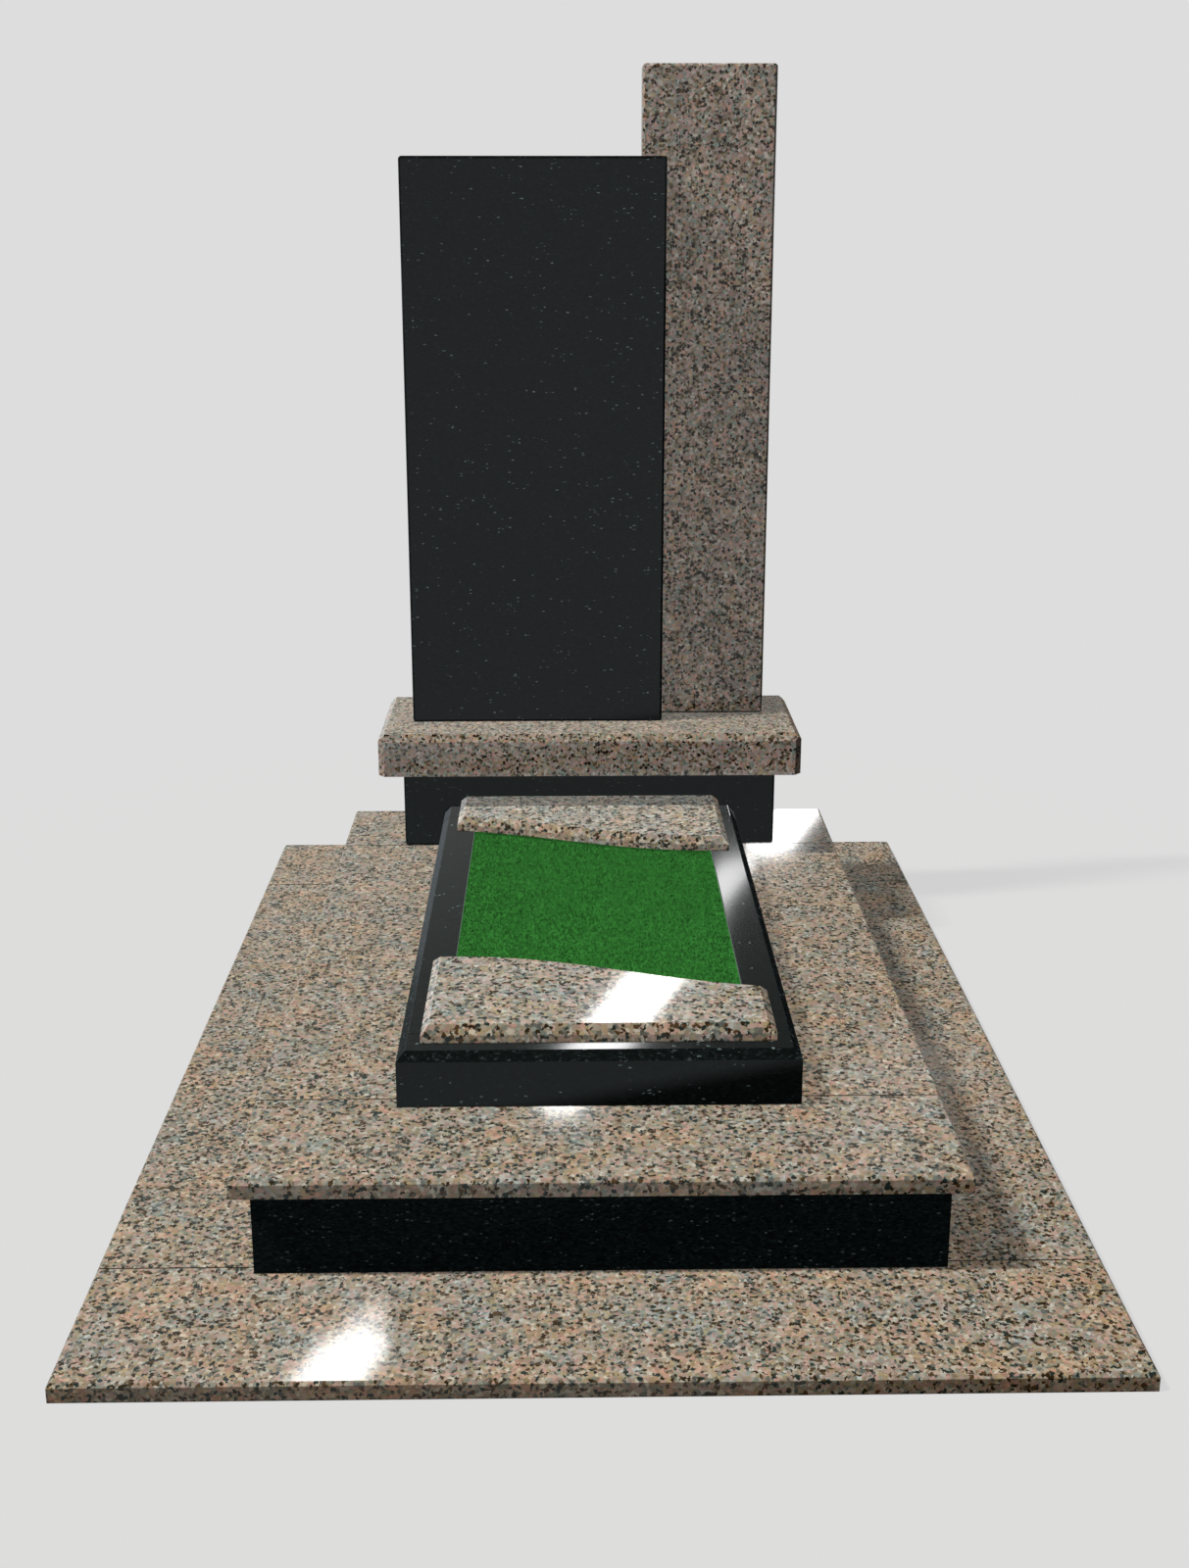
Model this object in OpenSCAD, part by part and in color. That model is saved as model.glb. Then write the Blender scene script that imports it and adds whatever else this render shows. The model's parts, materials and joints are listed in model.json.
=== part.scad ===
// Granite grave monument: an apron of ground slabs, a panelled base under cover slabs,
// a kerbed bed with two wave-edged plates, and a pedestal that carries a stele and a taller pillar.
// The origin is on the ground under the middle of the apron. The front faces -Y.

/* [Apron] */
// Width of the apron over both side slabs
apron_w = 1662; // [1500:1:1900]
// Length of the apron, front to back
apron_l = 2300; // [2200:1:2600]
// Distance that the apron slabs run in under the base panels
apron_tuck = 18; // [5:1:29]

/* [Slabs and edges] */
// Thickness of the apron and cover slabs
slab_t = 30; // [20:1:50]
// Chamfer on the slabs, the pedestal, the stele and the pillar
arris = 5; // [2:0.5:8]
// Bevel on the kerbs, the bed plates and the pedestal cap
bevel = 15; // [8:1:25]
// Open joint between neighbouring stones
joint = 1; // [0.5:0.1:2]

/* [Base] */
// Width of the cover over the base
cover_w = 1200; // [1100:1:1400]
// Length of the cover over the base
cover_l = 1800; // [1700:1:2100]
// Distance that the cover stands out past the base panels
cover_overhang = 30; // [10:1:60]
// Height of the base panels
base_h = 154; // [80:1:300]
// Thickness of the base panels
panel_t = 30; // [20:1:50]

/* [Bed] */
// Width of the kerb frame
bed_w = 702; // [500:1:800]
// Ledge of the cover in front of the kerb frame
front_ledge = 241; // [150:1:300]
// Width of a kerb, seen from above
kerb_w = 80; // [60:1:120]
// Height of the kerbs
kerb_h = 100; // [60:1:150]
// Distance that the cover slabs run in under the kerbs
kerb_seat = 30; // [10:1:60]
// Depth of the turf below the top of the kerbs
turf_drop = 6; // [2:1:20]
// Thickness of the turf mat
turf_t = 20; // [10:1:40]

/* [Bed plates] */
// Thickness of the two plates on the kerbs
plate_t = 30; // [26:1:50]
// Distance from the kerb's outer edge to the plates
plate_inset = 40; // [16:1:60]
// Length of a plate along its long side
plate_long = 316; // [250:1:450]
// Length of a plate along its short side
plate_short = 176; // [100:1:240]
// Share of the plate's width that runs straight before the wave
wave_start = 0.08; // [0:0.01:0.3]
// Share of the plate's width that half a wave takes up
wave_span = 1.05; // [0.9:0.01:1.5]

/* [Pedestal] */
// Width of the pedestal
pedestal_w = 900; // [700:1:1100]
// Depth of the pedestal, front to back
pedestal_d = 200; // [120:1:240]
// Height of the pedestal
pedestal_h = 208; // [120:1:350]
// Ledge of the cover behind the pedestal's front face
rear_ledge = 259; // [240:1:350]
// Width of the cap over the pedestal
cap_w = 1000; // [900:1:1150]
// Depth of the cap, front to back
cap_d = 362; // [320:1:420]
// Height of the cap
cap_h = 100; // [50:1:150]
// Distance that the cap stands out in front of the pedestal
cap_nose = 100; // [10:1:140]

/* [Stele and pillar] */
// Width of the stele
stele_w = 600; // [400:1:700]
// Height of the stele
stele_h = 1310; // [800:1:1600]
// Thickness of the stele
stele_t = 70; // [40:1:90]
// Width of the pillar
pillar_w = 303; // [150:1:350]
// Height of the pillar
pillar_h = 1511; // [1000:1:1900]
// Thickness of the pillar
pillar_t = 70; // [40:1:100]
// Width of the pillar that stands hidden behind the stele
pillar_lap = 53; // [20:1:120]
// Margin of the cap in front of the stele
front_margin = 121; // [40:1:150]

/* [Hidden] */

rose_granite = [0.60, 0.53, 0.47];
black_granite = [0.13, 0.14, 0.15];
concrete = [0.62, 0.61, 0.58];
soil = [0.30, 0.23, 0.17];
turf_green = [0.16, 0.40, 0.15];

// Levels, from the ground up
base_z = slab_t;
cover_z = base_z + base_h;
kerb_z = cover_z + slab_t;
plate_z = kerb_z + kerb_h;
turf_z = plate_z - turf_drop - turf_t;
cap_z = kerb_z + pedestal_h;
stele_z = cap_z + cap_h;

// Plan of the base, the cover and the bed
base_w = cover_w - 2 * cover_overhang;
base_l = cover_l - 2 * cover_overhang;
bed_front = -cover_l / 2 + front_ledge;
bed_back = cover_l / 2 - rear_ledge;
bed_l = bed_back - bed_front;
bed_inner_w = bed_w - 2 * kerb_w;
bed_inner_l = bed_l - 2 * kerb_w;
plate_w = bed_w - 2 * plate_inset;

// Plan of the slabs round the base and round the bed
apron_side = (apron_w - base_w) / 2 + apron_tuck;
apron_end = (apron_l - base_l) / 2 + apron_tuck;
cover_side = (cover_w - bed_w) / 2 + kerb_seat;
cover_front = front_ledge + kerb_seat;

// The pedestal stands behind the bed, and its cap reaches out over the bed's back edge
cap_front = bed_back - cap_nose;
stele_front = cap_front + front_margin;
pillar_front = stele_front + stele_t;

// The stele and the pillar stand as a pair in the middle of the cap
pair_w = stele_w + pillar_w - pillar_lap;

wave_steps = 28;
slope_step = 0.01;

// Outline of a w x h rectangle with its four corners cut: near-left, near-right, far-right, far-left
function cut_rectangle(w, h, c) = [
    [c[0], 0], [w - c[1], 0], [w, c[1]], [w, h - c[2]],
    [w - c[2], h], [c[3], h], [0, h - c[3]], [0, c[0]]
];

// Block of a given size at [x, y, z] with chamfered edges, from three crossing outlines.
// upright: front-left, front-right, back-right, back-left
// along_y: bottom-left, bottom-right, top-right, top-left
// along_x: bottom-front, bottom-back, top-back, top-front
module block(at, size, upright = [0, 0, 0, 0], along_y = [0, 0, 0, 0], along_x = [0, 0, 0, 0]) {
    translate(at) intersection() {
        linear_extrude(size[2]) polygon(cut_rectangle(size[0], size[1], upright));
        translate([0, size[1], 0]) rotate([90, 0, 0])
            linear_extrude(size[1]) polygon(cut_rectangle(size[0], size[2], along_y));
        rotate([90, 0, 90])
            linear_extrude(size[0]) polygon(cut_rectangle(size[1], size[2], along_x));
    }
}

// Block centred on X with every edge chamfered
module dressed_block(y, z, size, c, x = 0) {
    all = [c, c, c, c];
    block([x - size[0] / 2, y, z], size, all, all, all);
}

// Slab across the front of a layer, with its front, left and right top edges chamfered
module front_slab(w, d, front_y, z) {
    color(rose_granite) block(
        [-w / 2, front_y, z], [w, d, slab_t],
        along_y = [0, 0, arris, arris], along_x = [0, 0, 0, arris]
    );
}

// Slab along the left side of a layer, with its outer top edge chamfered
module left_slab(w, l, left_x, front_y, z) {
    color(rose_granite) block(
        [left_x, front_y, z], [w, l, slab_t],
        along_y = [0, 0, 0, arris]
    );
}

module apron_slab_front() {
    front_slab(apron_w, apron_end - joint / 2, -apron_l / 2, 0);
}

module apron_slab_back() {
    mirror([0, 1, 0]) apron_slab_front();
}

module apron_slab_left() {
    left_slab(
        apron_side, apron_l - 2 * apron_end - joint,
        -apron_w / 2, -apron_l / 2 + apron_end + joint / 2, 0
    );
}

module apron_slab_right() {
    mirror([1, 0, 0]) apron_slab_left();
}

// Cast block inside the base, which carries the cover, the kerbs and the pedestal
module concrete_core() {
    w = base_w - 2 * panel_t;
    l = base_l - 2 * panel_t;
    color(concrete) translate([-w / 2, -l / 2, 0]) cube([w, l, cover_z]);
}

module base_panel_front() {
    color(black_granite) translate([-base_w / 2, -base_l / 2, base_z]) cube([base_w, panel_t, base_h]);
}

module base_panel_back() {
    mirror([0, 1, 0]) base_panel_front();
}

module base_panel_left() {
    l = base_l - 2 * panel_t - 2 * joint;
    color(black_granite) translate([-base_w / 2, -l / 2, base_z]) cube([panel_t, l, base_h]);
}

module base_panel_right() {
    mirror([1, 0, 0]) base_panel_left();
}

module cover_slab_front() {
    front_slab(cover_w, cover_front - joint / 2, -cover_l / 2, cover_z);
}

// The rear cover slab starts level with the pedestal's front face
module cover_slab_back() {
    mirror([0, 1, 0]) front_slab(cover_w, rear_ledge - joint / 2, -cover_l / 2, cover_z);
}

module cover_slab_left() {
    left_slab(
        cover_side, cover_l - cover_front - rear_ledge - joint,
        -cover_w / 2, -cover_l / 2 + cover_front + joint / 2, cover_z
    );
}

module cover_slab_right() {
    mirror([1, 0, 0]) cover_slab_left();
}

module kerb_front() {
    color(black_granite) block(
        [-bed_w / 2, bed_front, kerb_z], [bed_w, kerb_w - joint / 2, kerb_h],
        along_y = [0, 0, bevel, bevel], along_x = [0, 0, 0, bevel]
    );
}

// The back kerb stands against the pedestal, so only its two ends are bevelled
module kerb_back() {
    color(black_granite) block(
        [-bed_w / 2, bed_back - kerb_w + joint / 2, kerb_z], [bed_w, kerb_w - joint, kerb_h],
        along_y = [0, 0, bevel, bevel]
    );
}

module kerb_left() {
    color(black_granite) block(
        [-bed_w / 2, bed_front + kerb_w + joint / 2, kerb_z], [kerb_w, bed_inner_l - joint, kerb_h],
        along_y = [0, 0, 0, bevel]
    );
}

module kerb_right() {
    mirror([1, 0, 0]) kerb_left();
}

// Planting soil in the opening of the cover and between the kerbs
module bed_fill() {
    opening_w = cover_w - 2 * cover_side;
    opening_l = cover_l - cover_front - rear_ledge;
    color(soil) {
        translate([-opening_w / 2, -cover_l / 2 + cover_front, cover_z]) cube([opening_w, opening_l, slab_t]);
        translate([-bed_inner_w / 2, bed_front + kerb_w, cover_z])
            cube([bed_inner_w, bed_inner_l, turf_z - cover_z]);
    }
}

module turf() {
    color(turf_green) translate([-bed_inner_w / 2, bed_front + kerb_w, turf_z])
        cube([bed_inner_w, bed_inner_l, turf_t]);
}

// Length of a plate at the share t of its width, from the long side (0) to the short side (1)
function wave_fall(t) = t <= wave_start ? 0 : 1 - cos(180 * (t - wave_start) / wave_span);
function plate_length(t) = plate_long - (plate_long - plate_short) * wave_fall(t) / wave_fall(1);

// Slope of the wave, as the change of length for each unit of width
function wave_slope(t) =
    (plate_length(t + slope_step) - plate_length(t - slope_step)) / (2 * slope_step * plate_w);

// Outline of a plate, drawn in by a distance on all sides: two straight corners and the wave
function plate_outline(inset) = concat(
    [[inset, inset], [plate_w - inset, inset]],
    [
        for (i = [wave_steps:-1:0])
            let (
                u = inset + (plate_w - 2 * inset) * i / wave_steps,
                t = u / plate_w,
                fall = wave_slope(t)
            )
            [u, plate_length(t) - inset * sqrt(1 + fall * fall)]
    ]
);

// Plate with a wave along its far edge and a bevel round its top, long side at the left
module bed_plate() {
    outer = plate_outline(0);
    inner = plate_outline(bevel);
    n = len(outer);
    points = concat(
        [for (p = outer) [p[0], p[1], 0]],
        [for (p = outer) [p[0], p[1], plate_t - bevel]],
        [for (p = inner) [p[0], p[1], plate_t]]
    );
    sides = [
        for (ring = [0, 1], i = [0:n - 1], half = [0, 1])
            let (a = ring * n + i, b = ring * n + (i + 1) % n)
            half == 0 ? [a, a + n, b] : [b, a + n, b + n]
    ];
    faces = concat([[for (i = [0:n - 1]) i]], sides, [[for (i = [n - 1:-1:0]) 2 * n + i]]);
    color(rose_granite) polyhedron(points, faces);
}

module bed_plate_front() {
    translate([-plate_w / 2, bed_front + plate_inset, plate_z]) bed_plate();
}

// The same plate turned half round, against the pedestal
module bed_plate_back() {
    translate([plate_w / 2, bed_back, plate_z]) rotate([0, 0, 180]) bed_plate();
}

module pedestal() {
    color(black_granite)
        dressed_block(bed_back, kerb_z, [pedestal_w, pedestal_d, pedestal_h], arris);
}

module pedestal_cap() {
    top = [0, 0, bevel, bevel];
    color(rose_granite)
        block([-cap_w / 2, cap_front, cap_z], [cap_w, cap_d, cap_h], [bevel, bevel, bevel, bevel], top, top);
}

module stele() {
    x = (stele_w - pair_w) / 2;
    color(black_granite) dressed_block(stele_front, stele_z, [stele_w, stele_t, stele_h], arris, x);
}

module pillar() {
    x = (pair_w - pillar_w) / 2;
    color(rose_granite) dressed_block(pillar_front, stele_z, [pillar_w, pillar_t, pillar_h], arris, x);
}

apron_slab_front();
apron_slab_back();
apron_slab_left();
apron_slab_right();
concrete_core();
base_panel_front();
base_panel_back();
base_panel_left();
base_panel_right();
cover_slab_front();
cover_slab_back();
cover_slab_left();
cover_slab_right();
kerb_front();
kerb_back();
kerb_left();
kerb_right();
bed_fill();
turf();
bed_plate_front();
bed_plate_back();
pedestal();
pedestal_cap();
stele();
pillar();
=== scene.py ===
import bpy
import json
import math
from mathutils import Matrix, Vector


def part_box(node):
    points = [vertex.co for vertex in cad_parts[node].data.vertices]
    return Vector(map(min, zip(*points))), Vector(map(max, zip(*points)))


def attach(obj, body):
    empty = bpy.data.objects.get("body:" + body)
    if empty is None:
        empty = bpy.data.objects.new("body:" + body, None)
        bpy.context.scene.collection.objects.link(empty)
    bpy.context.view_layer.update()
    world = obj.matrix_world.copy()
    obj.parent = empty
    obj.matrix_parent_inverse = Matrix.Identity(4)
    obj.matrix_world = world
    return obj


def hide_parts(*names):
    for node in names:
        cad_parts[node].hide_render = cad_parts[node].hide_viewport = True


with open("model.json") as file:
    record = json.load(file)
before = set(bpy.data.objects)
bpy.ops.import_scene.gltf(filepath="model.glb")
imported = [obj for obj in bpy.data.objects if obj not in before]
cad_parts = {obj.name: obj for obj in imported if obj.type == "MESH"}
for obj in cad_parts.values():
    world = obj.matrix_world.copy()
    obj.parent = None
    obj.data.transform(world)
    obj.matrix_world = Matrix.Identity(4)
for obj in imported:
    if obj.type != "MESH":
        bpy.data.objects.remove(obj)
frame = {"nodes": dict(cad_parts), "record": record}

scene = bpy.context.scene
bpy.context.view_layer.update()  # box of the stones as packed
stones = frame["nodes"]
print("frame loaded:", len(stones), "stones")


# small helpers for node trees, where a source is a (node, output) pair

def grey(level):
    return level, level, level


def feed(tree, node, inputs):
    # inputs gives each socket, by name or number, a source or a plain value
    for label, value in inputs.items():
        socket = node.inputs[label]
        if isinstance(value, tuple) and isinstance(value[0], bpy.types.Node):
            tree.links.new(value[0].outputs[value[1]], socket)
        elif isinstance(value, tuple) and socket.type == "RGBA":
            socket.default_value = (*value, 1)
        elif value is not None:
            socket.default_value = value


def addNode(tree, kind, spot, inputs=None, **settings):
    node = tree.nodes.new(kind)
    node.location = (spot[0] * 190, spot[1] * 190)  # one step leaves room for a node
    for name, value in settings.items():
        setattr(node, name, value)
    feed(tree, node, inputs or {})
    return node


def mathNode(tree, operation, first, second, spot, third=None, clamp=False):
    inputs = {0: first, 1: second, 2: third}
    return addNode(tree, "ShaderNodeMath", spot, inputs, operation=operation, use_clamp=clamp), 0


def vectorNode(tree, operation, first, second, spot, output="Vector"):
    inputs = {0: first, 1: second}
    return addNode(tree, "ShaderNodeVectorMath", spot, inputs, operation=operation), output


def split(tree, source, spot, axes="XYZ"):
    node = addNode(tree, "ShaderNodeSeparateXYZ", spot, {0: source})
    return [(node, axis) for axis in axes]


def combine(tree, spot, x=None, y=None, z=None):
    return addNode(tree, "ShaderNodeCombineXYZ", spot, {"X": x, "Y": y, "Z": z}), 0


def fade(tree, source, limits, spot, ends=(0.0, 1.0), step="LINEAR"):
    # runs from one end to the other while the source runs between the limits
    sockets = ("Value", "From Min", "From Max", "To Min", "To Max")
    inputs = dict(zip(sockets, (source, *limits, *ends)))
    return addNode(tree, "ShaderNodeMapRange", spot, inputs, interpolation_type=step), "Result"


def mixColour(tree, share, first, second, spot, blend="MIX"):
    inputs = {0: share, 6: first, 7: second}
    return addNode(tree, "ShaderNodeMix", spot, inputs, data_type="RGBA", blend_type=blend), 2


def ramp(tree, source, stops, spot, step="LINEAR"):
    node = addNode(tree, "ShaderNodeValToRGB", spot, {"Fac": source})
    node.color_ramp.interpolation = step
    elements = node.color_ramp.elements
    while len(elements) < len(stops):
        elements.new(0.5)
    for element, (position, colour) in zip(elements, stops):
        element.position = position
        element.color = (*(colour if isinstance(colour, tuple) else grey(colour)), 1)
    return node, 0


def noise(tree, source, scale, detail, spot):
    return addNode(tree, "ShaderNodeTexNoise", spot, {"Vector": source, "Scale": scale, "Detail": detail})


def newGroup(name, inputs, outputs, kind="Shader", ends=(-6, 6)):
    tree = bpy.data.node_groups.new(name, kind + "NodeTree")
    for label, form, value in inputs:
        socket = tree.interface.new_socket(label, in_out="INPUT", socket_type="NodeSocket" + form)
        if value is not None:
            socket.default_value = value
    for label, form in outputs:
        tree.interface.new_socket(label, in_out="OUTPUT", socket_type="NodeSocket" + form)
    given = addNode(tree, "NodeGroupInput", (ends[0], 0))
    out = addNode(tree, "NodeGroupOutput", (ends[1], 0))
    return tree, given, out


def useGroup(tree, group, spot, inputs=None):
    return addNode(tree, "ShaderNodeGroup", spot, inputs, node_tree=group)


def newMaterial(name, shader="ShaderNodeBsdfPrincipled"):
    material = bpy.data.materials.new(name)
    material.use_nodes = True
    tree = material.node_tree
    tree.nodes.clear()
    surface = addNode(tree, shader, (8, 0))
    addNode(tree, "ShaderNodeOutputMaterial", (10, 0), {"Surface": (surface, 0)})
    return material, tree, surface


# camera

cameraSetup = {
    "place": (-0.0526, -3.3984, 1.7093),
    "yaw": 0.932,     # degrees to the right of straight ahead
    "pitch": 14.887,  # degrees below the horizon
    "lens": 40.18,
    "sensor": 36,
    "shift": (-0.0003, -0.0676),
    "clip": (0.05, 200),
}


def makeCamera(setup):
    data = bpy.data.cameras.new("viewCamera")
    data.sensor_width = setup["sensor"]
    data.lens = setup["lens"]
    data.shift_x, data.shift_y = setup["shift"]
    data.clip_start, data.clip_end = setup["clip"]
    camera = bpy.data.objects.new("viewCamera", data)
    camera.location = setup["place"]
    camera.rotation_euler = (math.radians(90 - setup["pitch"]), 0, -math.radians(setup["yaw"]))
    scene.collection.objects.link(camera)
    scene.camera = camera


makeCamera(cameraSetup)
print("camera set")


# lamps: a row of them makes one wide soft source

backdrop = 0.723  # grey of the floor and of the room behind it

lampSetup = {
    "strength": 2.34,      # shared by the row
    "drifts": (0.60, 0.665, 0.73, 0.79),  # how far each shines to the right for a metre down
    "back": 0.15,          # and how far to the back
    "passing": 2,          # lamps whose light the low kerbs and bed plates let through
    "colour": (1.0, 0.99, 0.95),
    "angle": 1.5,          # degrees, which softens the edges of shadows
}

lowStones = bpy.data.collections.new("lowStones")


def letLightPast(stone):
    lowStones.objects.link(stone)
    lowStones.collection_objects[-1].light_linking.link_state = "EXCLUDE"


def makeLamps(setup):
    count = len(setup["drifts"])
    for index, drift in enumerate(setup["drifts"]):
        name = f"keyLamp{index + 1}"
        light = bpy.data.lights.new(name, "SUN")
        light.energy = setup["strength"] / count
        light.color = setup["colour"]
        light.angle = math.radians(setup["angle"])
        lamp = bpy.data.objects.new(name, light)
        lamp.rotation_mode = "QUATERNION"
        lamp.rotation_quaternion = Vector((drift, setup["back"], -1)).to_track_quat("-Z", "Y")
        scene.collection.objects.link(lamp)
        if index >= count - setup["passing"]:
            lamp.light_linking.blocker_collection = lowStones


# sky: even light on the stones, and what their polish mirrors of the ceiling

skySetup = {
    "light": 0.40,      # what lights the stones
    "mirrored": 0.174,  # what polished faces reflect
    "least": 0.05,      # and the least of it
    "rise": 5.0,        # how fast it grows below the top
    "top": 0.42,
    "tint": (0.96, 1.03, 1.01),
    "tilt": -2.8,       # the mirrored sky is brighter on the left
    "horizon": (0.06, 0.20),  # how high the mirrored floor gives way to the sky
    "tubeSlope": 0.39,
    # ceiling tubes, seen only in the polish: near end, far end, offset, half width and glow
    "tubes": [
        (0.95, 1.412, -0.739, 0.032, 11.0),
        (1.30, 1.45, -0.748, 0.015, 5.0),
        (1.835, 2.40, -0.736, 0.040, 10.0),
        (1.81, 1.90, -0.719, 0.022, 7.0),
        (2.42, 2.63, -0.746, 0.029, 5.6),
        (2.655, 3.60, -0.720, 0.040, 10.0),
        # three that lie inside each other, for one soft patch of light at the right
        (1.70, 1.98, -0.34, 0.05, 0.42),
        (1.62, 2.03, -0.335, 0.08, 0.26),
        (1.54, 2.08, -0.33, 0.14, 0.14),
    ],
}


def tubeGroup():
    # glow of one long tube on an endless ceiling, from the direction of a ray
    tree, given, out = newGroup(
        "ceilingTube",
        [("Direction", "Vector", None), ("Slope", "Float", 0.4), ("Offset", "Float", -0.7),
         ("Half Width", "Float", 0.04), ("Near", "Float", 1.0), ("Far", "Float", 2.0),
         ("Glow", "Float", 1.0)],
        [("Glow", "Float")])
    x, y, z = split(tree, (given, "Direction"), (-5, 0))
    up = mathNode(tree, "MAXIMUM", z, 0.02, (-4, -1))  # keeps clear of the horizon
    across = mathNode(tree, "DIVIDE", x, up, (-3, 1))
    along = mathNode(tree, "DIVIDE", y, up, (-3, 0))
    drift = mathNode(tree, "MULTIPLY", along, (given, "Slope"), (-2, 1))
    side = mathNode(tree, "SUBTRACT", across, drift, (-1, 1))
    side = mathNode(tree, "SUBTRACT", side, (given, "Offset"), (0, 1))
    # rounded ends: distance from the tube's middle line
    short = mathNode(tree, "SUBTRACT", (given, "Near"), along, (0, 0))
    past = mathNode(tree, "SUBTRACT", along, (given, "Far"), (0, -1))
    over = mathNode(tree, "MAXIMUM", short, past, (1, 0))
    over = mathNode(tree, "ADD", over, (given, "Half Width"), (2, 0))
    over = mathNode(tree, "MAXIMUM", over, 0.0, (3, 0))
    away = vectorNode(tree, "LENGTH", combine(tree, (4, 0), side, over), None, (5, 0), "Value")
    inside = mathNode(tree, "LESS_THAN", away, (given, "Half Width"), (6, 0))
    feed(tree, out, {"Glow": mathNode(tree, "MULTIPLY", inside, (given, "Glow"), (7, 0))})
    return tree


def makeSky(setup, floorColour):
    world = bpy.data.worlds.new("studio")
    scene.world = world
    world.use_nodes = True
    tree = world.node_tree
    tree.nodes.clear()
    direction = (addNode(tree, "ShaderNodeTexCoord", (-6, 0)), "Generated")
    tube = tubeGroup()
    glow = None
    for row, (near, far, offset, halfWidth, strength) in enumerate(setup["tubes"]):
        one = useGroup(tree, tube, (-4, row), {
            "Direction": direction, "Slope": setup["tubeSlope"], "Offset": offset,
            "Half Width": halfWidth, "Near": near, "Far": far, "Glow": strength})
        glow = mathNode(tree, "MAXIMUM", glow, (one, 0), (-3, row)) if glow else (one, 0)
    x, z = split(tree, direction, (-4, -3), "XZ")
    slope = setup["tilt"] * setup["mirrored"]
    level = mathNode(tree, "MULTIPLY_ADD", x, slope, (-3, -3), setup["mirrored"])
    level = mathNode(tree, "MAXIMUM", level, setup["least"], (-2, -3))
    # brighter towards the horizon, where it meets the mirrored floor
    low = mathNode(tree, "SUBTRACT", setup["top"], z, (-3, -4))
    low = mathNode(tree, "MAXIMUM", low, 0.0, (-2, -4))
    rise = mathNode(tree, "MULTIPLY_ADD", low, setup["rise"], (-1, -4), 1.0)
    level = mathNode(tree, "MULTIPLY", level, rise, (-1, -3))
    horizon = fade(tree, z, setup["horizon"], (-1, -5), (1.0, 0.0), "SMOOTHSTEP")
    mirrored = mixColour(tree, 1.0, level, setup["tint"], (0, -4), "MULTIPLY")
    mirrored = mixColour(tree, horizon, mirrored, floorColour, (0, -3))
    mirrored = mixColour(tree, 1.0, mirrored, glow, (-1, 0), "LIGHTEN")
    ray = addNode(tree, "ShaderNodeLightPath", (-3, -2))
    lit = mixColour(tree, (ray, "Is Glossy Ray"), grey(setup["light"]), mirrored, (0, 0))
    seen = mixColour(tree, (ray, "Is Camera Ray"), lit, grey(backdrop), (1, 0))
    sky = addNode(tree, "ShaderNodeBackground", (2, 0), {"Color": seen})
    addNode(tree, "ShaderNodeOutputWorld", (3, 0), {"Surface": (sky, 0)})


# floor

floorSetup = {
    "half": 60,
    "drop": 0.0005,      # keeps it clear of the slabs
    "bounce": 0.22,      # light it throws back on the stones
    "shade": 0.20,       # share of the real shadow that stays on it
    "shadeFade": (1.2, 3.2),  # distances from the middle between which that fades out
    "mirrored": (0.385, 0.42, 0.43),  # painted reflection: the unlit glow it shows in the polish
    "far": (1.15, 1.28, 1.40),  # the same far off at the back left
    "farBack": (2.8, 3.15),
    "farLeft": (-0.8, -1.2),
    "dark": 0.02,        # the same at the right
    "darkRight": (0.9, 1.4),
    "darkFrom": -1.5,    # how far forward that reaches
    "slant": 0.33,       # slope of the line that bounds the dark before the front kerb
    "slantEdge": (-1.138, -1.045),  # where that line crosses the middle, and its soft width
    "slantBack": -0.8,   # how far back that dark reaches
}


def mirroredFloorGroup(setup):
    # painted reflection: the unlit glow the floor shows only in the polish, even grey, bright far off at
    # the back left, dark at the right, and dark close before the front kerb on the right of a slanting line
    tree, given, out = newGroup("mirroredFloor", [("Vector", "Vector", None)], [("Color", "Color")])
    x, y = split(tree, (given, "Vector"), (-5, 0), "XY")
    back = fade(tree, y, setup["farBack"], (-4, 2), step="SMOOTHSTEP")
    left = fade(tree, x, setup["farLeft"], (-4, 1))
    far = mathNode(tree, "MULTIPLY", back, left, (-3, 1))
    colour = mixColour(tree, far, setup["mirrored"], setup["far"], (-2, 1))
    right = fade(tree, x, setup["darkRight"], (-4, 0))
    beside = mathNode(tree, "GREATER_THAN", y, setup["darkFrom"], (-4, -1))
    shade = mathNode(tree, "MULTIPLY", right, beside, (-3, 0))
    slant = mathNode(tree, "MULTIPLY_ADD", x, setup["slant"], (-4, -2), y)
    past = fade(tree, slant, setup["slantEdge"], (-3, -2), step="SMOOTHSTEP")
    close = mathNode(tree, "LESS_THAN", y, setup["slantBack"], (-3, -3))
    corner = mathNode(tree, "MULTIPLY", past, close, (-2, -2))
    dark = mathNode(tree, "MAXIMUM", shade, corner, (-1, 0))
    feed(tree, out, {"Color": mixColour(tree, dark, colour, grey(setup["dark"]), (0, 0))})
    return tree


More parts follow.
